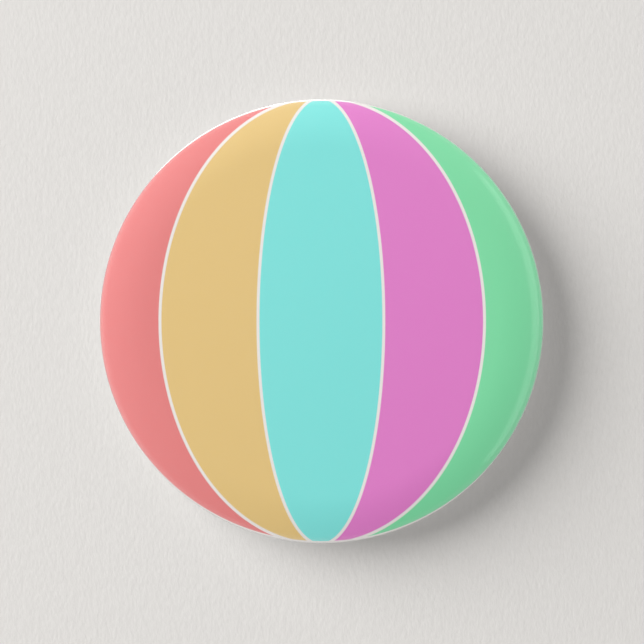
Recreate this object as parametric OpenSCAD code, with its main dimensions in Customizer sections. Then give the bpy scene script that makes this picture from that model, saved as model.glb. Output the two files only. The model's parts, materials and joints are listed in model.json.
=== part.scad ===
// Round pin-back button badge with a printed beach ball face.
// A pressed tin shell, a printed paper disc and a clear film are curled together over the rim
// of a pressed back plate, and a coiled spring wire pin is held on that plate by two bridges.
// The badge stands upright as it is worn: +X right, +Z up, the face looks along -Y.
// The origin is the middle of the needle, on the axis of the badge.

/* [Badge body] */
// Radius of the finished badge over the film
badge_r = 28.6; // [27:0.1:30]
// Radius of the rounded edge where the face turns into the side
edge_r = 2.6; // [2.2:0.1:3]
// How much larger the radius of the softer shoulder inside the edge is
shoulder_gain = 7.5; // [5:0.5:10]
// Rise of the domed face over the circle of shoulder centres
crown = 1; // [1, 1.25]
// Height of the straight part of the side, between the edge and the rear curl
side_h = 0.2; // [0.1:0.1:0.6]
// Outer radius of the curl that closes the badge at the rear
curl_r = 1.3; // [1.3:0.05:1.5]

/* [Layers] */
// Thickness of the clear cover film
film_t = 0.08; // [0.06:0.01:0.08]
// Thickness of the printed paper
paper_t = 0.12; // [0.1:0.01:0.12]
// Thickness of the tin shell
shell_t = 0.25; // [0.2:0.01:0.25]
// Thickness of the tin back plate
plate_t = 0.3; // [0.26:0.02:0.3]
// Gap left between two layers that lie against each other
layer_gap = 0.02; // [0.015:0.005:0.02]

/* [Back plate] */
// Depth of the sunken field below the rearmost plane of the body
field_depth = 1.4; // [1.2:0.1:1.6]
// Radius at which the raised border starts to fall to the field
border_r = 24.2; // [23.8:0.1:24.4]
// Bend radius of the pressed steps, at mid sheet
bend_r = 0.5; // [0.4:0.05:0.5]
// Outer radius of the stiffening groove pressed into the field
groove_out = 15.6; // [15:0.1:16]
// Inner radius of the stiffening groove
groove_in = 13; // [12.4:0.1:13]
// Distance of each bridge from the middle
bridge_x = 9; // [6:0.5:12]
// Width of a bridge, along the wire
bridge_w = 2.4; // [2:0.1:3]
// Span of a bridge, across the wire
bridge_span = 4.4; // [4:0.1:5]

/* [Pin] */
// Diameter of the pin wire
wire_d = 0.8; // [0.76:0.02:0.8]
// Mean diameter of the coil, which sets how far the needle stands off the leg
coil_d = 2.4; // [2.2:0.1:2.6]
// Distance of the coil from the middle
coil_x = 19.5; // [19:0.1:20]
// Sideways step of the wire in one turn of the coil
coil_pitch = 0.9; // [0.86:0.01:0.95]
// Distance of the hook from the middle
hook_x = 18; // [17.8:0.1:19]
// How far the hook reaches over the needle, in degrees of arc
hook_wrap = 110; // [95:1:112]
// Distance of the needle point from the middle
point_x = 21; // [20.5:0.1:22]
// Radius of the needle on its free stretch
needle_r = 0.38; // [0.34:0.01:0.38]
// Length of the free stretch of the needle
needle_free = 33; // [30:0.5:33]

/* [Hidden] */

fit_gap = 0.03;
wire_r = wire_d / 2;
turn_r = coil_d / 2;

// unit directions of the bends that are not square, with short decimals so that arcs meet exactly
edge_lean = [0.6, 0.8];
step_lean = [-0.6, 0.8];
right = [1, 0];
left = [-1, 0];
face_up = [0, 1];
rear_down = [0, -1];

// heights are measured along the badge's axis from the needle, towards the face
field_z = coil_d + wire_r + fit_gap;
rear_z = field_z - field_depth;

// centres of the arcs of the outer surface, as [distance from the axis, height]
edge_c = [badge_r - edge_r, rear_z + curl_r + side_h];
shoulder_r = edge_r + shoulder_gain;
shoulder_c = edge_c - shoulder_gain * edge_lean;
dome_reach = (pow(shoulder_c.x, 2) / crown + crown) / 2;
dome_r = dome_reach + shoulder_r;
dome_c = [0, shoulder_c.y - dome_reach + crown];
dome_lean = shoulder_c - dome_c;
curl_c = [badge_r - curl_r, rear_z + curl_r];

// depth of each layer's outer face below the outside of the film
paper_in = film_t + layer_gap;
shell_in = paper_in + paper_t + layer_gap;

// the free edges of paper and film are folded over the cut edge of the shell
tuck_h = 0.6;
fold_len = 0.5;
tuck_x = badge_r - 2 * curl_r;
fold_c = [tuck_x + shell_in + shell_t / 2, curl_c.y + tuck_h];

// the back plate's rim hooks over that fold and back down into the curl
rim_in = tuck_x - fit_gap;
rim_out = fold_c.x + shell_t / 2 + shell_in + fit_gap;
rim_c = [(rim_in + rim_out) / 2, fold_c.y];
rim_r = (rim_out - rim_in + plate_t) / 2;
rim_leg = 1.05;
border_depth = 0.4;
border_c = [rim_c.x - rim_r - bend_r, rear_z + border_depth + bend_r];
step_drop = field_depth + plate_t / 2 - border_depth;
step_line = (step_drop - 2 * bend_r * (1 + step_lean.x)) / step_lean.y;
step_side = [-step_lean.y, step_lean.x];
step_top = [border_r, border_c.y];
slope_start = step_top + bend_r * step_side;
slope_end = slope_start + step_line * step_lean;
step_foot = slope_end + bend_r * step_side;
field_mid = step_foot.y + bend_r;

// the leg lies beside the needle by one and a half turns of the coil
leg_y = 1.5 * coil_pitch;
leg_z = coil_d;
hook_gap = 0.2;
hook_z = leg_y - 2 * wire_r - hook_gap;
leg_bend_r = 0.9;
bridge_rise = 2 * wire_r + 2 * fit_gap;
bridge_r = (pow(bridge_span / 2, 2) + pow(bridge_rise, 2)) / (2 * bridge_rise);

// stretches of wire stop just short of each other, and a collar a hair thicker joins them
joint_gap = 0.04;
joint_r = wire_r + 0.02;
joint_len = 0.16;
along_x = [0, 90, 0];
along_z = [0, 0, 0];

// the needle turns on a ball in a cup at the end of the coil
ball_x = -coil_x + 0.9;
cup_gap = 0.02;
cup_lip = 0.25;
root_r = wire_r - 0.01;
point_r = 0.06;

tin = [0.78, 0.79, 0.8];
nickel = [0.72, 0.72, 0.71];
clear = [0.85, 0.9, 0.93];
coral = [0.89, 0.53, 0.53];

function facets(r) = max(64, 8 * ceil(r * 1.5));

// a point that far out along v lies well outside a circle of radius r
function beyond(v, r) = ceil(1.5 * r / norm(v)) * v;

// a straight strip of sheet from p to q, in the half section
module strip_line(p, q, t) {
  along = (q - p) / norm(q - p);
  across = [-along.y, along.x] * t / 2;
  polygon([p - across, q - across, q + across, p + across]);
}

// a bent strip of sheet round c, with r to its middle, between directions a and b
module strip_arc(c, r, a, b, t) {
  start = beyond(a, r);
  end = beyond(b, r);
  translate(c)
    intersection() {
      difference() {
        circle(r + t / 2, $fn = facets(r));
        circle(r - t / 2, $fn = facets(r));
      }
      polygon([[0, 0], start, start + end, end]);
    }
}

// half section of a layer that follows the outside of the badge at a given depth
module layer_section(inset, t) {
  mid = inset + t / 2;
  strip_arc(dome_c, dome_r - mid, dome_lean, face_up, t);
  strip_arc(shoulder_c, shoulder_r - mid, edge_lean, dome_lean, t);
  strip_arc(edge_c, edge_r - mid, right, edge_lean, t);
  strip_line([badge_r - mid, curl_c.y], [badge_r - mid, edge_c.y], t);
  strip_arc(curl_c, curl_r - mid, right, rear_down, t);
  strip_arc(curl_c, curl_r - mid, rear_down, left, t);
  strip_line([tuck_x + mid, curl_c.y], [tuck_x + mid, fold_c.y], t);
}

// half section of the stretch that is folded over the shell's cut edge
module fold_section(inset, t) {
  bend = fold_c.x - tuck_x - inset - t / 2;
  strip_arc(fold_c, bend, left, face_up, t);
  strip_arc(fold_c, bend, face_up, right, t);
  strip_line(fold_c + [bend, -fold_len], fold_c + [bend, 0], t);
}

// one wall of the groove in the half section, starting at radius r and leaning along side
module groove_wall(r, side) {
  lean = [side * step_lean.y, step_lean.x];
  foot = [r, field_mid + bend_r];
  strip_arc(foot, bend_r, rear_down, lean, plate_t);
  strip_arc(foot + 2 * bend_r * lean, bend_r, -lean, face_up, plate_t);
}

// half section of the back plate, from its tucked rim to the middle of the field
module plate_section() {
  outer_leg = rim_c.x + rim_r;
  inner_leg = rim_c.x - rim_r;
  border_z = border_c.y - bend_r;
  groove_wall_w = 2 * bend_r * step_lean.y;
  groove_z = field_mid + 2 * bend_r * (1 + step_lean.x);
  strip_line([outer_leg, rim_c.y - rim_leg], [outer_leg, rim_c.y], plate_t);
  strip_arc(rim_c, rim_r, right, face_up, plate_t);
  strip_arc(rim_c, rim_r, face_up, left, plate_t);
  strip_line([inner_leg, border_c.y], [inner_leg, rim_c.y], plate_t);
  strip_arc(border_c, bend_r, right, rear_down, plate_t);
  strip_line([step_top.x, border_z], [border_c.x, border_z], plate_t);
  strip_arc(step_top, bend_r, rear_down, step_side, plate_t);
  strip_line(slope_start, slope_end, plate_t);
  strip_arc(step_foot, bend_r, -step_side, face_up, plate_t);
  strip_line([groove_out, field_mid], [step_foot.x, field_mid], plate_t);
  groove_wall(groove_out, -1);
  strip_line([groove_in + groove_wall_w, groove_z], [groove_out - groove_wall_w, groove_z], plate_t);
  groove_wall(groove_in, 1);
  strip_line([0, field_mid], [groove_in, field_mid], plate_t);
}

module turned() {
  rotate_extrude($fn = 180) children();
}

// lays the badge upright: the axis that points to the face turns to -Y
module upright() {
  rotate([90, 0, 0]) children();
}

module front_shell() {
  color(tin) upright() turned() layer_section(shell_in, shell_t);
}

module artwork_disc() {
  color(coral) upright() turned() {
    layer_section(paper_in, paper_t);
    fold_section(paper_in, paper_t);
  }
}

module cover_film() {
  color(clear, 0.4) upright() turned() {
    layer_section(0, film_t);
    fold_section(0, film_t);
  }
}

module at_bridges() {
  for (side = [-1, 1])
    translate([side * bridge_x, leg_y, field_z])
      rotate([90, 0, 90])
        linear_extrude(bridge_w, center = true)
          children();
}

// low arch over the wire, seen along it
module bridge_arch(r) {
  translate([0, bridge_r - bridge_rise]) circle(r, $fn = 96);
}

// the bridges are cut free along two sides and pushed out of the field
module back_plate() {
  color(tin) upright() {
    difference() {
      turned() plate_section();
      at_bridges() bridge_arch(bridge_r);
    }
    at_bridges()
      intersection() {
        difference() {
          bridge_arch(bridge_r + plate_t);
          bridge_arch(bridge_r);
        }
        translate([-bridge_span, plate_t / 2 - 2 * bridge_span])
          square(2 * bridge_span);
      }
  }
}

// a straight stretch of wire along +X
module wire_run(length) {
  translate([joint_gap, 0, 0])
    rotate(along_x)
      cylinder(length - 2 * joint_gap, r = wire_r, $fn = 48);
}

// a bent stretch of wire of mean radius r, round the origin, from +X towards +Y
module wire_bend(r, angle) {
  trim = asin(joint_gap / r);
  rotate(trim)
    rotate_extrude(angle = angle - 2 * trim, $fn = 96)
      translate([r, 0])
        circle(wire_r, $fn = 32);
}

module wire_joint(at, heading) {
  translate(at)
    rotate(heading)
      cylinder(joint_len, r = joint_r, center = true, $fn = 48);
}

// one half turn of the coil, bulging along +X or -X, tilted so that the next one follows on
module half_turn(side) {
  tilt = atan(coil_pitch / 2 / coil_d);
  rotate([90 + side * tilt, 0, 0])
    rotate(-90 * side)
      wire_bend(turn_r / cos(tilt), 180);
}

module coil() {
  for (i = [0:2]) {
    start_y = leg_y - i * coil_pitch / 2;
    translate([-coil_x, start_y - coil_pitch / 4, turn_r])
      half_turn(i % 2 == 0 ? -1 : 1);
    wire_joint([-coil_x, start_y, i % 2 == 0 ? coil_d : 0], along_x);
  }
  wire_joint([-coil_x, 0, 0], along_x);
}

// the leg under the bridges, bent up at its end and over the needle
module leg_and_hook() {
  bend_x = hook_x - leg_bend_r;
  bend_z = leg_z - leg_bend_r;
  translate([-coil_x, leg_y, leg_z]) wire_run(coil_x + bend_x);
  wire_joint([bend_x, leg_y, leg_z], along_x);
  translate([bend_x, leg_y, bend_z])
    rotate([90, 0, 0])
      wire_bend(leg_bend_r, 90);
  wire_joint([hook_x, leg_y, bend_z], along_z);
  translate([hook_x, leg_y, bend_z])
    rotate([0, 90, 0])
      wire_run(bend_z - hook_z);
  wire_joint([hook_x, leg_y, hook_z], along_z);
  translate([hook_x, 0, hook_z])
    rotate([0, -90, 0])
      rotate(90)
        wire_bend(leg_y, hook_wrap);
}

// one wire: the leg, its hook, and the coil with the cup that starts the needle
module pin_wire() {
  color(nickel) upright() {
    leg_and_hook();
    coil();
    difference() {
      translate([-coil_x, 0, 0]) wire_run(coil_x + ball_x - cup_lip + joint_gap);
      translate([ball_x, 0, 0]) sphere(wire_r + cup_gap, $fn = 64);
    }
  }
}

module pin_needle() {
  free_end = needle_free / 2;
  color(nickel) {
    translate([ball_x, 0, 0]) sphere(wire_r, $fn = 64);
    translate([ball_x, 0, 0])
      rotate([0, 90, 0])
        cylinder(-free_end - ball_x, root_r, needle_r, $fn = 48);
    translate([-free_end, 0, 0])
      rotate([0, 90, 0])
        cylinder(needle_free, r = needle_r, $fn = 48);
    translate([free_end, 0, 0])
      rotate([0, 90, 0])
        cylinder(point_x - free_end, needle_r, point_r, $fn = 48);
  }
}

front_shell();
artwork_disc();
cover_film();
back_plate();
pin_wire();
pin_needle();
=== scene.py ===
"""Looks of a round pin-back button badge with a five-panel beach ball printed on its face.

The badge stands upright, as it is worn: +X right, +Z up, the face towards -Y, in metres.
Sections are drawn in millimetres, as distance from the axis and height towards the face.
"""

import json
import math

import bmesh
import bpy
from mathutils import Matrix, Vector


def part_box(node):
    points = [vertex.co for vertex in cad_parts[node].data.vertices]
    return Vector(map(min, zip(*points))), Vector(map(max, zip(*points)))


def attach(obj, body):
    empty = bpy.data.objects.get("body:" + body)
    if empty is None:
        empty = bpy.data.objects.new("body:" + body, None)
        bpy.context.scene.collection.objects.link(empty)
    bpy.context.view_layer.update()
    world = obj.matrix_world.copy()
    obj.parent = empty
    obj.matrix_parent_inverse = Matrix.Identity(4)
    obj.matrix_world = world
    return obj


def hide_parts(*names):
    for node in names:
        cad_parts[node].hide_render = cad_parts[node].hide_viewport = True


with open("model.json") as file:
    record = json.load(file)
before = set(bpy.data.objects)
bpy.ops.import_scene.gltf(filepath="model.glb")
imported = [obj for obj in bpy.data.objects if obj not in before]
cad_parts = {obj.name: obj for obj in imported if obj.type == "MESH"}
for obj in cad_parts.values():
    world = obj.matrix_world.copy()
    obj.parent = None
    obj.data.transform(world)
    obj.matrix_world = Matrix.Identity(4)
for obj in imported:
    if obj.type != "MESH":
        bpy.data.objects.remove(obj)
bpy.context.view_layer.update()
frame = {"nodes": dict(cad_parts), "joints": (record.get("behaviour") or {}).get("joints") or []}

MM = 0.001

# ---------------------------------------------------------------- sizes from the frame

film_low, film_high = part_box("cover_film")
wire_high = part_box("pin_wire")[1]
needle_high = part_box("pin_needle")[1]
badge_r = film_high.x / MM
apex_z = -film_low.y / MM
rear_z = -film_high.y / MM
point_x = needle_high.x / MM
pivot_x = frame["joints"][0]["pos_m"][0] / MM

# ---------------------------------------------------------------- sizes of the sheets

edge_r = 2.6
shoulder_gain = 7.5
crown = 1
side_h = 0.2
edge_slope = (0.6, 0.8)
curl_r = 1.3
tuck_h = 0.6
fold_len = 0.5
film_t = 0.08
paper_t = 0.12
shell_t = 0.25
plate_t = 0.3
layer_gap = 0.02
fit_gap = 0.03

paper_in = film_t + layer_gap
shell_in = paper_in + paper_t + layer_gap
fold_r = shell_in + shell_t / 2
edge_tilt = math.degrees(math.atan2(*edge_slope))
shoulder_x = badge_r - edge_r - shoulder_gain * math.sin(math.radians(edge_tilt))
dome_reach = (shoulder_x**2 / crown + crown) / 2
dome_tilt = math.degrees(math.asin(shoulder_x / dome_reach))
shoulder_r = edge_r + shoulder_gain
dome_r = dome_reach + shoulder_r

field_depth = 1.4
border_depth = 0.4
field_z = rear_z + field_depth
field_mid = field_z + plate_t / 2
border_r = 24.2
border_mid = rear_z + border_depth
bend_r = 0.5
groove_in = 13
groove_out = 15.6
step_tilt = 90 - edge_tilt
rim_in = badge_r - 2 * curl_r - fit_gap
rim_out = badge_r - 2 * curl_r + fold_r + shell_t / 2 + shell_in + fit_gap
rim_r = (rim_out - rim_in + plate_t) / 2
rim_leg = 1.05

wire_r = 0.4
coil_d = 2.4
coil_x = 19.5
coil_pitch = 0.9
coil_turns = 1.5
coil_ease = 0.5
hook_x = 18
hook_wrap = 110
hook_z = 0.35
leg_bend_r = 0.9
leg_y = coil_turns * coil_pitch
leg_z = coil_d
cup_gap = 0.02
cup_r = wire_r + cup_gap
cup_lip = 0.25
needle_r = 0.38
needle_free = 33
point_r = 0.06

bridge_x = 9
bridge_w = 2.4
bridge_span = 4.4
bridge_rise = 2 * wire_r + 2 * fit_gap
bridge_r = ((bridge_span / 2) ** 2 + bridge_rise**2) / (2 * bridge_rise)

round_steps = 192
wire_steps = 24
on_axis = 1e-6

# directions of the badge in the frame
RIGHT = Vector((1, 0, 0))
UP = Vector((0, 0, 1))
REAR = Vector((0, 1, 0))


def place(x, y, z):
    """A point x to the right, y up and z towards the face, in millimetres, in the frame."""
    return x * RIGHT + y * UP - z * REAR


# ---------------------------------------------------------------- mesh code

class Pen:
    """Draws the run of a sheet in the half section, and keeps its points and left normals."""

    def __init__(self, x, z):
        self.at = Vector((x, z))
        self.heading = 0.0
        self.marks = [(self.at, self.normal())]

    def normal(self):
        return Vector((-math.sin(self.heading), math.cos(self.heading)))

    def line(self, length, steps=2):
        along = Vector((math.cos(self.heading), math.sin(self.heading)))
        for _ in range(steps):
            self.at = self.at + along * length / steps
            self.marks.append((self.at, self.normal()))

    def turn(self, radius, degrees, steps):
        """Turns left by that many degrees, or right where they are negative."""
        side = math.copysign(1, degrees)
        centre = self.at + self.normal() * radius * side
        for _ in range(steps):
            self.heading += math.radians(degrees) / steps
            self.at = centre - self.normal() * radius * side
            self.marks.append((self.at, self.normal()))


def moved(marks, distance):
    """The marks' points, moved that far to the left."""
    return [point + normal * distance for point, normal in marks]


def shade(mesh, sharp=35):
    mesh.shade_smooth()
    mesh.set_sharp_from_angle(angle=math.radians(sharp))


def new_piece(name, bm):
    """An object of that mesh, smooth shaded apart from its sharp edges."""
    bmesh.ops.recalc_face_normals(bm, faces=bm.faces)
    mesh = bpy.data.meshes.new(name)
    bm.to_mesh(mesh)
    bm.free()
    shade(mesh)
    piece = bpy.data.objects.new(name, mesh)
    bpy.context.scene.collection.objects.link(piece)
    return piece


def join_rings(bm, rings):
    """Faces between each ring of vertices and the next. A ring of one vertex is a pole."""
    count = max(len(ring) for ring in rings)
    for one, two in zip(rings, rings[1:]):
        for i in range(count):
            j = (i + 1) % count
            corners = [one[i % len(one)], one[j % len(one)], two[j % len(two)], two[i % len(two)]]
            bm.faces.new(dict.fromkeys(corners))


def lathe(outline):
    """Turns an outline that starts and ends on the axis round the badge's axis."""
    bm = bmesh.new()
    rings = []
    for point in outline:
        if point.x < on_axis:
            rings.append([bm.verts.new(place(0, 0, point.y) * MM)])
            continue
        angles = [2 * math.pi * i / round_steps for i in range(round_steps)]
        around = [(point.x * math.cos(a), point.x * math.sin(a)) for a in angles]
        rings.append([bm.verts.new(place(x, y, point.y) * MM) for x, y in around])
    join_rings(bm, rings)
    return bm


def sweep(stations):
    """A closed round tube through stations of point, direction and radius, in millimetres."""
    bm = bmesh.new()
    rings = []
    side = stations[0][1].orthogonal()
    for point, along, radius in stations:
        side = (side - along * side.dot(along)).normalized()
        other = along.cross(side)
        angles = [2 * math.pi * i / wire_steps for i in range(wire_steps)]
        around = [side * math.cos(a) + other * math.sin(a) for a in angles]
        rings.append([bm.verts.new((point + offset * radius) * MM) for offset in around])
    join_rings(bm, rings)
    bm.faces.new(rings[0])
    bm.faces.new(rings[-1])
    return bm


def extrude_section(corners, x, width):
    """A bar along X of that section, given as height up and towards the face."""
    bm = bmesh.new()
    ends = []
    for side in (-0.5, 0.5):
        ends.append([bm.verts.new(place(x + side * width, y, z) * MM) for y, z in corners])
        bm.faces.new(ends[-1])
    join_rings(bm, ends)
    return bm


def combine(piece, other, operation):
    """Cuts other out of piece, or adds it, and removes it."""
    step = piece.modifiers.new("combine", "BOOLEAN")
    step.operation = operation
    step.solver = "EXACT"
    step.object = other
    solved = piece.evaluated_get(bpy.context.evaluated_depsgraph_get())
    mesh = bpy.data.meshes.new_from_object(solved)
    piece.modifiers.remove(step)
    piece.data = mesh
    shade(mesh)
    bpy.data.objects.remove(other)


# ---------------------------------------------------------------- pieces

def badge_outline():
    """The outside of the badge, from the middle of the face to the folded edge in the curl."""
    pen = Pen(0, apex_z)
    pen.turn(dome_r, -dome_tilt, 40)
    pen.turn(shoulder_r, dome_tilt - edge_tilt, 26)
    pen.turn(edge_r, edge_tilt - 90, 26)
    pen.line(side_h)
    pen.turn(curl_r, -180, 40)
    pen.line(tuck_h)
    pen.turn(fold_r, -180, 20)
    pen.line(fold_len)
    return pen.marks


def build_layer(name, inset, thickness):
    """One layer of sheet that follows the outside of the badge at that depth."""
    marks = badge_outline()
    outside = moved(marks, -inset)
    inside = moved(marks, -inset - thickness)
    return new_piece(name, lathe(outside + inside[::-1]))


def plate_outline():
    """The middle of the back plate's sheet, from its axis to the hooked rim."""
    tilt = math.radians(step_tilt)
    wall_run = 2 * bend_r * math.sin(tilt)
    wall_rise = 2 * bend_r * (1 - math.cos(tilt))
    slope = (field_mid - border_mid - wall_rise) / math.sin(tilt)
    foot_x = border_r - wall_run - slope * math.cos(tilt)
    pen = Pen(0, field_mid)
    pen.line(groove_in, 12)
    pen.turn(bend_r, step_tilt, 10)
    pen.turn(bend_r, -step_tilt, 10)
    pen.line(groove_out - groove_in - 2 * wall_run)
    pen.turn(bend_r, -step_tilt, 10)
    pen.turn(bend_r, step_tilt, 10)
    pen.line(foot_x - groove_out, 6)
    pen.turn(bend_r, -step_tilt, 10)
    pen.line(slope)
    pen.turn(bend_r, step_tilt, 10)
    pen.line(rim_in - plate_t / 2 - bend_r - border_r)
    pen.turn(bend_r, 90, 12)
    pen.line(rear_z + curl_r + tuck_h - border_mid - bend_r)
    pen.turn(rim_r, -180, 20)
    pen.line(rim_leg)
    return pen.marks


def bridge_arc(radius, top):
    """The stretch of a bridge's circle below that height, as height up and towards the face."""
    centre_z = field_z + bridge_r - bridge_rise
    half = math.acos((centre_z - top) / radius)
    steps = 28
    angles = [half * (2 * i / steps - 1) for i in range(steps + 1)]
    return [(leg_y + radius * math.sin(a), centre_z - radius * math.cos(a)) for a in angles]


def build_plate():
    """The pressed back plate, with two bridges cut free and pushed out over the wire."""
    marks = plate_outline()
    outline = moved(marks, plate_t / 2) + moved(marks, -plate_t / 2)[::-1]
    plate = new_piece("pressed_plate", lathe(outline))
    over = field_z + bridge_r - bridge_rise
    for side in (-1, 1):
        x = side * bridge_x
        opening = bridge_arc(bridge_r, over)
        arch = bridge_arc(bridge_r + plate_t, field_mid) + bridge_arc(bridge_r, field_mid)[::-1]
        combine(plate, new_piece("cutter", extrude_section(opening, x, bridge_w)), "DIFFERENCE")
        combine(plate, new_piece("arch", extrude_section(arch, x, bridge_w)), "UNION")
    return plate


def arc_stations(centre, start, onward, radius, first, last, steps):
    """Stations round centre, from the angle first to last, with start at 0 and onward at 90."""
    stations = []
    way = math.copysign(1, last - first)
    for i in range(steps + 1):
        a = math.radians(first + (last - first) * i / steps)
        point = centre + radius * (math.cos(a) * start + math.sin(a) * onward)
        along = way * (math.cos(a) * onward - math.sin(a) * start)
        stations.append((point, along, wire_r))
    return stations


def coil_stations():
    """One and a half turns from the leg to the needle's axis, easing out of the leg's line."""
    stations = []
    steps = 90
    whole = 2 * math.pi * coil_turns
    for i in range(steps + 1):
        share = i / steps
        a = whole * share
        eased = share - math.sin(2 * math.pi * share) / (2 * math.pi) * coil_ease
        drift = (1 - coil_ease * math.cos(2 * math.pi * share)) / whole
        out = coil_x + coil_d / 2 * math.sin(a)
        point = place(-out, leg_y * (1 - eased), coil_d / 2 * (1 + math.cos(a)))
        along = place(-coil_d / 2 * math.cos(a), -leg_y * drift, -coil_d / 2 * math.sin(a))
        stations.append((point, along.normalized(), wire_r))
    return stations


def cup_stations():
    """The wire's end next to the needle, hollowed out for the needle's ball."""
    lip_x = pivot_x - cup_lip
    stations = [(place(lip_x, 0, 0), RIGHT, wire_r)]
    depth_steps = 8
    for i in range(depth_steps):
        back = cup_lip + (cup_r - cup_lip) * i / depth_steps
        stations.append((place(pivot_x - back, 0, 0), RIGHT, math.sqrt(cup_r**2 - back**2)))
    return stations


def build_wire():
    """The pin's fixed wire: hook, riser, leg and coil in one run."""
    hook_centre = place(hook_x, 0, hook_z)
    bend_centre = place(hook_x - leg_bend_r, leg_y, leg_z - leg_bend_r)
    stations = arc_stations(hook_centre, UP, REAR, leg_y, hook_wrap, 0, 32)
    stations += arc_stations(bend_centre, RIGHT, -REAR, leg_bend_r, 0, 90, 16)
    stations += coil_stations()
    stations += cup_stations()
    return new_piece("bent_wire", sweep(stations))


def build_needle():
    """The needle, from the ball that it turns on to its ground point."""
    stations = []
    ball_steps = 12
    for i in range(ball_steps):
        a = math.pi / 2 * (i + 0.5) / ball_steps
        stations.append((place(pivot_x - wire_r * math.cos(a), 0, 0), RIGHT, wire_r * math.sin(a)))
    free_end = needle_free / 2
    tip_steps = 6
    stations.append((place(pivot_x, 0, 0), RIGHT, wire_r))
    stations.append((place(-free_end, 0, 0), RIGHT, needle_r))
    stations.append((place(free_end, 0, 0), RIGHT, needle_r))
    stations.append((place(point_x - point_r, 0, 0), RIGHT, point_r))
    for i in range(1, tip_steps):
        a = math.pi / 2 * i / tip_steps
        x = point_x - point_r * (1 - math.sin(a))
        stations.append((place(x, 0, 0), RIGHT, point_r * math.cos(a)))
    return new_piece("sprung_needle", sweep(stations))


# ---------------------------------------------------------------- materials

class Shader:
    """A Principled material whose textures are put together from short calls."""

    def __init__(self, name, **sockets):
        self.material = bpy.data.materials.new(name)
        self.material.use_nodes = True
        self.tree = self.material.node_tree
        self.surface = self.tree.nodes["Principled BSDF"]
        for key, value in sockets.items():
            self.surface.inputs[key.replace("_", " ")].default_value = value

    def node(self, kind, settings=None, **inputs):
        node = self.tree.nodes.new(kind)
        for key, value in (settings or {}).items():
            setattr(node, key, value)
        for key, value in inputs.items():
            self.feed(node.inputs[key.replace("_", " ")], value)
        return node

    def feed(self, socket, value):
        if isinstance(value, bpy.types.NodeSocket):
            self.tree.links.new(value, socket)
        else:
            socket.default_value = value

    def math(self, operation, *values):
        node = self.tree.nodes.new("ShaderNodeMath")
        node.operation = operation
        for socket, value in zip(node.inputs, values):
            self.feed(socket, value)
        return node.outputs[0]

    def squares(self, one, two):
        """The sum of the two values' squares."""
        return self.math("ADD", self.math("MULTIPLY", one, one), self.math("MULTIPLY", two, two))

    def position(self):
        """The place on the object, in metres."""
        return self.node("ShaderNodeTexCoord").outputs["Object"]

    def split(self, vector):
        return self.node("ShaderNodeSeparateXYZ", Vector=vector).outputs

    def scaled(self, vector, x, y, z):
        """The vector in units of 1/x, 1/y and 1/z metres."""
        node = self.node("ShaderNodeVectorMath", {"operation": "MULTIPLY"})
        self.feed(node.inputs[0], vector)
        self.feed(node.inputs[1], (x, y, z))
        return node.outputs[0]

    def noise(self, vector, scale=1.0, detail=2.0, roughness=0.5):
        node = self.node("ShaderNodeTexNoise", Vector=vector, Scale=scale, Detail=detail,
                         Roughness=roughness)
        return node.outputs["Fac"]

    def between(self, value, low, high, to_low=0.0, to_high=1.0, smooth=False):
        """Value taken from the range low to high into another, and held at its ends."""
        settings = {"interpolation_type": "SMOOTHSTEP" if smooth else "LINEAR"}
        node = self.node("ShaderNodeMapRange", settings, Value=value)
        ends = {"From Min": low, "From Max": high, "To Min": to_low, "To Max": to_high}
        for key, end in ends.items():
            self.feed(node.inputs[key], end)
        return node.outputs["Result"]

    def mix(self, share, one, two, blend="MIX"):
        """One colour, taken towards two by share."""
        settings = {"data_type": "RGBA", "blend_type": blend}
        node = self.node("ShaderNodeMix", settings)
        self.feed(node.inputs["Factor"], share)
        for socket, colour in ((node.inputs[6], one), (node.inputs[7], two)):
            self.feed(socket, colour)
        return node.outputs[2]

    def bump(self, height, distance):
        node = self.node("ShaderNodeBump", Height=height, Strength=1.0, Distance=distance)
        self.feed(self.surface.inputs["Normal"], node.outputs["Normal"])

    def give(self, piece, slot):
        piece.data.materials.clear()
        piece.data.materials.append(self.material)


def rgb(red, green, blue):
    return (red, green, blue, 1.0)


paper_white = rgb(0.82, 0.79, 0.77)
panels = [
    rgb(0.772, 0.153, 0.155),
    rgb(0.752, 0.512, 0.150),
    rgb(0.141, 0.755, 0.722),
    rgb(0.730, 0.140, 0.564),
    rgb(0.138, 0.715, 0.340),
]
# where each seam crosses the middle, in radii of the badge
seams = [-0.718, -0.28, 0.281, 0.731]
ball_middle = (-0.0037, 0.002)
seam_rise = 1.002
seam_w = 0.37
least_spread = 0.0001
ink_soft = 0.05
ink_edge = 0.002
# how far the ink's middle is to the right, and its reach sideways and up, in radii of the badge
ink_middle = 0.0055
ink_reach = (0.9985, 0.988)


def draw_panels(shader, u, v):
    """The panels' colour at u to the right and v up, and a mask of the white lines between them."""
    height = shader.math("DIVIDE", v, seam_rise)
    left = shader.math("SUBTRACT", 1.0, shader.math("MULTIPLY", height, height))
    spread = shader.math("SQRT", shader.math("MAXIMUM", left, least_spread))
    colour = panels[0]
    line = 0.0
    soft = ink_soft / badge_r
    half = seam_w / 2 / badge_r
    for seam, panel in zip(seams, panels[1:]):
        off = shader.math("SUBTRACT", u, shader.math("MULTIPLY", spread, seam))
        colour = shader.mix(shader.between(off, -soft, soft), colour, panel)
        lean = shader.math("MULTIPLY", height, seam / seam_rise)
        steep = shader.math("SQRT", shader.squares(spread, lean))
        across = shader.math("MULTIPLY", shader.math("ABSOLUTE", off), spread)
        away = shader.math("DIVIDE", across, steep)
        line = shader.math("MAXIMUM", line, shader.between(away, half + soft, half - soft, smooth=True))
    return colour, line


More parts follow.
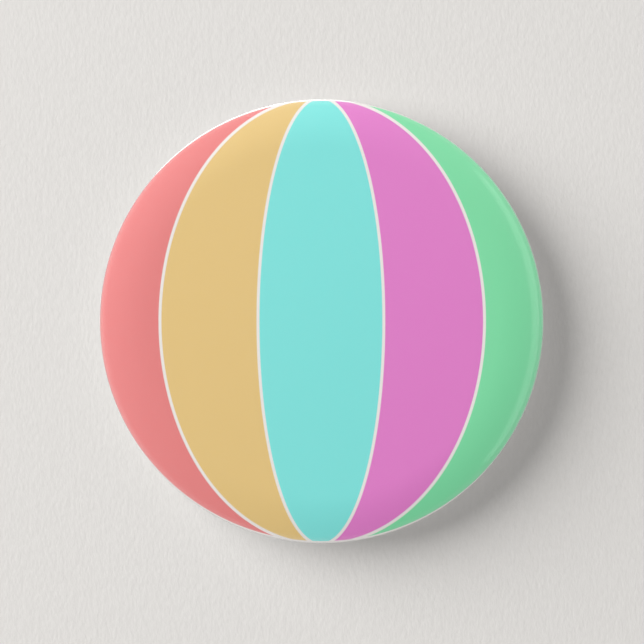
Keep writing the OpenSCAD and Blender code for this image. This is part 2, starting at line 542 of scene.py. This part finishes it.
def leave_bare(shader, u, v, y):
    """A mask of the paper past the ink's edge and behind the badge's side."""
    out_x = shader.math("DIVIDE", shader.math("SUBTRACT", u, ink_middle), ink_reach[0])
    out_z = shader.math("DIVIDE", v, ink_reach[1])
    past = shader.between(shader.squares(out_x, out_z), 1 - ink_edge, 1 + ink_edge)
    side_y = -(rear_z + curl_r + side_h) * MM
    return shader.math("MAXIMUM", past, shader.math("GREATER_THAN", y, side_y))


def printed_paper():
    """Coated paper with the ball's five panels printed as a flat picture of a ball."""
    shader = Shader("printed_paper", Roughness=0.5, Specular_IOR_Level=0.3,
                    Coat_Weight=1.0, Coat_Roughness=0.1)
    x, y, z = shader.split(shader.position())
    unit = badge_r * MM
    u = shader.math("SUBTRACT", shader.math("DIVIDE", x, unit), ball_middle[0])
    v = shader.math("SUBTRACT", shader.math("DIVIDE", z, unit), ball_middle[1])
    colour, line = draw_panels(shader, u, v)
    white = shader.math("MAXIMUM", line, leave_bare(shader, u, v, y))
    colour = shader.mix(white, colour, paper_white)
    fibre = shader.noise(shader.position(), 9000, 3)
    colour = shader.mix(1.0, colour, shader.between(fibre, 0.3, 0.7, 0.985, 1.015), "MULTIPLY")
    shader.feed(shader.surface.inputs["Base Color"], colour)
    shader.bump(fibre, 0.000004)
    return shader


def clear_film():
    """Clear polyester film, with the slight waviness of film stretched over paper."""
    shader = Shader("clear_film", Base_Color=rgb(0.92, 0.93, 0.93), Roughness=0.28, Alpha=0.03)
    shader.bump(shader.noise(shader.position(), 500, 2), 0.00001)
    return shader


scratch_soft = 0.04


def scratches(shader, vector, fine, long, least):
    """A mask of short fine scratches: fine and long are their counts to the metre."""
    streaks = shader.noise(shader.scaled(vector, long, fine, fine), 1.0, 1)
    return shader.between(streaks, least, least + scratch_soft)


def grey(tone, red=1.0, green=1.0, blue=1.0):
    return rgb(tone * red, tone * green, tone * blue)


def tinplate(name, tone):
    """Rolled tinplate: fine streaks along the rolling direction, soft blotches and scratches."""
    shader = Shader(name, Metallic=1.0)
    vector = shader.position()
    streaks = shader.noise(shader.scaled(vector, 70, 2600, 2600), 1.0, 4, 0.6)
    blotch = shader.between(shader.noise(vector, 140, 3), 0.35, 0.65, 0.0, 0.12)
    turned = shader.node("ShaderNodeVectorRotate", {"rotation_type": "Y_AXIS"}, Vector=vector, Angle=0.7)
    marks = scratches(shader, turned.outputs[0], 7000, 160, 0.68)
    light = grey(tone, 1.12, 1.11, 1.09)
    colour = shader.mix(shader.between(streaks, 0.3, 0.7), grey(tone, blue=1.01), light)
    colour = shader.mix(blotch, colour, grey(tone, 0.7, 0.71, 0.73))
    colour = shader.mix(shader.math("MULTIPLY", marks, 0.35), colour, grey(tone, 0.6, 0.6, 0.62))
    shader.feed(shader.surface.inputs["Base Color"], colour)
    rolled = shader.between(streaks, 0.3, 0.7, 0.24, 0.34)
    rough = shader.math("ADD", rolled, shader.math("MULTIPLY", marks, 0.15))
    shader.feed(shader.surface.inputs["Roughness"], rough)
    shader.bump(shader.math("SUBTRACT", streaks, shader.math("MULTIPLY", marks, 0.5)), 0.000006)
    return shader


def plated_wire(name, along_x):
    """Nickel-plated spring wire with faint drawing marks."""
    shader = Shader(name, Metallic=1.0)
    vector = shader.position()
    stretch = (300, 9000, 9000) if along_x else (4000, 4000, 4000)
    marks = shader.noise(shader.scaled(vector, *stretch), 1.0, 3)
    blotch = shader.noise(vector, 700, 3)
    colour = shader.mix(shader.between(blotch, 0.3, 0.7), rgb(0.66, 0.64, 0.60), rgb(0.78, 0.76, 0.72))
    shader.feed(shader.surface.inputs["Base Color"], colour)
    shader.feed(shader.surface.inputs["Roughness"], shader.between(marks, 0.3, 0.7, 0.15, 0.28))
    shader.bump(marks, 0.000004)
    return shader


# ---------------------------------------------------------------- putting it together

artwork = build_layer("printed_face", paper_in, paper_t)
printed_paper().give(artwork, "printed_paper")
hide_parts("artwork_disc")
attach(artwork, "badge")

film = build_layer("glossy_film", 0, film_t)
clear_film().give(film, "clear_film")
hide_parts("cover_film")
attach(film, "badge")

plate = build_plate()
tinplate("plate_tin", 0.62).give(plate, "plate_tin")
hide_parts("back_plate")
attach(plate, "badge")

wire = build_wire()
plated_wire("spring_wire", False).give(wire, "spring_wire")
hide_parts("pin_wire")
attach(wire, "badge")

needle = build_needle()
plated_wire("needle_wire", True).give(needle, "needle_wire")
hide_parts("pin_needle")
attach(needle, "needle")

tinplate("shell_tin", 0.66).give(frame["nodes"]["front_shell"], "shell_tin")

# ---------------------------------------------------------------- stage, light and camera

lamp_white = (1.0, 0.985, 0.965)
backdrop_colour = rgb(0.72, 0.71, 0.70)
wall_gap = 0.00005
wall_half = 0.5
room_r = 4.0
# the glow of the room's front and rear halves: level, then growth to the right and upwards
room_front = (0.955, -0.37, 0.40)
room_rear = (1.03, -0.3, 0.2)
# how softly the two halves meet, and how dim the room is straight behind the badge
room_edge = 0.12
room_back = 0.55
back_from = 0.4
strip_wide = 0.6
strip_tall = 2.0

camera_distance = 0.6
camera_x = 0.00005
camera_z = -0.00009
camera_reach = 20
sensor_w = 36.0
view_w = 0.0832

badge_pieces = [artwork, film, plate, wire, needle, frame["nodes"]["front_shell"]]


def stage_piece(name, bm, shader):
    """A part of the stage round the badge, with that material."""
    mesh = bpy.data.meshes.new(name)
    bm.to_mesh(mesh)
    bm.free()
    mesh.materials.append(shader.material)
    piece = bpy.data.objects.new(name, mesh)
    bpy.context.scene.collection.objects.link(piece)
    return piece


def wall_paint():
    """Matt off-white paint with a fine upright grain, clear from behind."""
    shader = Shader("wall_paint", Roughness=0.9, Specular_IOR_Level=0.1)
    grain = shader.noise(shader.scaled(shader.position(), 2500, 2500, 1250), 1.0, 3)
    tone = shader.between(grain, 0.2, 0.8)
    colour = shader.mix(tone, rgb(0.744, 0.735, 0.724), rgb(0.783, 0.774, 0.763))
    shader.feed(shader.surface.inputs["Base Color"], colour)
    shader.bump(grain, 0.000036)
    behind = shader.node("ShaderNodeNewGeometry").outputs["Backfacing"]
    clear = shader.node("ShaderNodeBsdfTransparent").outputs["BSDF"]
    switch = shader.node("ShaderNodeMixShader", Fac=behind)
    shader.feed(switch.inputs[1], shader.surface.outputs["BSDF"])
    shader.feed(switch.inputs[2], clear)
    shader.feed(shader.tree.nodes["Material Output"].inputs["Surface"], switch.outputs["Shader"])
    return shader


def build_wall():
    """A pale wall just behind the pin."""
    bm = bmesh.new()
    y = wire_high.y + wall_gap
    corners = [(-1, -1), (1, -1), (1, 1), (-1, 1)]
    bm.faces.new([bm.verts.new((x * wall_half, y, z * wall_half)) for x, z in corners])
    wall = stage_piece("pale_wall", bm, wall_paint())
    wall.visible_diffuse = False
    wall.visible_glossy = False
    wall.visible_transmission = False
    wall.visible_shadow = False
    return wall


def build_room():
    """A big pale globe round everything, which glows on the badge but not on the wall."""
    shader = Shader("room_glow")
    x, y, z = shader.split(shader.scaled(shader.position(), 1 / room_r, 1 / room_r, 1 / room_r))
    halves = []
    for ahead, right, up in (room_front, room_rear):
        lean = shader.math("ADD", shader.math("MULTIPLY", x, right), shader.math("MULTIPLY", z, up))
        halves.append(shader.math("ADD", lean, ahead))
    strength = shader.between(y, -room_edge, room_edge, *halves)
    strength = shader.math("MULTIPLY", strength, shader.between(y, back_from, 1.0, 1.0, room_back))
    glow = shader.node("ShaderNodeEmission", Color=rgb(*lamp_white), Strength=strength)
    shader.feed(shader.tree.nodes["Material Output"].inputs["Surface"], glow.outputs["Emission"])
    shader.material.cycles.emission_sampling = "NONE"
    bm = bmesh.new()
    bmesh.ops.create_icosphere(bm, subdivisions=4, radius=room_r)
    return stage_piece("pale_room", bm, shader)


def keep_to(light, lit, shading=None):
    """Only the pieces in lit get this light, and only those in shading stop it, or else all."""
    group = bpy.data.collections.new(light.name + "_lit")
    for piece in lit:
        group.objects.link(piece)
    light.light_linking.receiver_collection = group
    if shading is not None:
        group = bpy.data.collections.new(light.name + "_shading")
        for piece in shading:
            group.objects.link(piece)
        light.light_linking.blocker_collection = group


def softbox(name, off_axis, turn, distance, size, radiance):
    """A round light that far off the badge's axis, turned from the right towards the top."""
    off_axis = math.radians(off_axis)
    turn = math.radians(turn)
    direction = math.sin(off_axis) * (math.cos(turn) * RIGHT + math.sin(turn) * UP)
    direction -= math.cos(off_axis) * REAR
    data = bpy.data.lights.new(name, "AREA")
    data.shape = "DISK"
    data.size = size
    data.energy = radiance * math.pi * math.pi * (size / 2) ** 2
    data.color = lamp_white
    light = bpy.data.objects.new(name, data)
    bpy.context.scene.collection.objects.link(light)
    light.location = direction * distance
    light.rotation_euler = direction.to_track_quat("Z", "Y").to_euler()
    return light


def build_strip():
    """A tall card of light at the right, which shows in gloss only."""
    strip = softbox("side_strip", off_axis=84, turn=2, distance=1.1, size=strip_wide, radiance=1.2)
    strip.data.shape = "RECTANGLE"
    strip.data.size_y = strip_tall
    strip.data.energy *= strip_tall / strip_wide * 4 / math.pi
    strip.visible_diffuse = False
    return strip


def build_backdrop():
    """A pale backdrop, which the camera sees and which gives no light."""
    backdrop = bpy.data.worlds.new("pale_backdrop")
    backdrop.use_nodes = True
    backdrop.node_tree.nodes["Background"].inputs["Color"].default_value = backdrop_colour
    bpy.context.scene.world = backdrop
    for rays in ("diffuse", "glossy", "transmission", "scatter"):
        setattr(backdrop.cycles_visibility, rays, False)


def build_camera():
    """A camera straight in front of the badge."""
    data = bpy.data.cameras.new("camera")
    data.sensor_width = sensor_w
    data.lens = sensor_w * camera_distance / view_w
    data.clip_end = camera_reach
    camera = bpy.data.objects.new("camera", data)
    bpy.context.scene.collection.objects.link(camera)
    camera.location = (camera_x, -camera_distance, camera_z)
    camera.rotation_euler = (math.radians(90), 0, 0)
    return camera


# the paper and the film throw no light on the wall, which has lights of its own
for sheet in (artwork, film):
    sheet.visible_diffuse = False
wall = build_wall()
keep_to(build_room(), badge_pieces)
wall_key = softbox("wall_key", off_axis=60, turn=156, distance=2.2, size=2.15, radiance=6.12)
wall_fill = softbox("wall_fill", off_axis=20, turn=135, distance=2.2, size=1.2, radiance=5.8)
rear = softbox("rear_softbox", off_axis=150, turn=110, distance=1.0, size=0.5, radiance=2.5)
keep_to(wall_key, [wall])
keep_to(wall_fill, [wall], [wall])
keep_to(rear, badge_pieces)
keep_to(build_strip(), badge_pieces)
build_backdrop()

bpy.context.scene.camera = build_camera()
bpy.context.scene.view_settings.view_transform = "Standard"
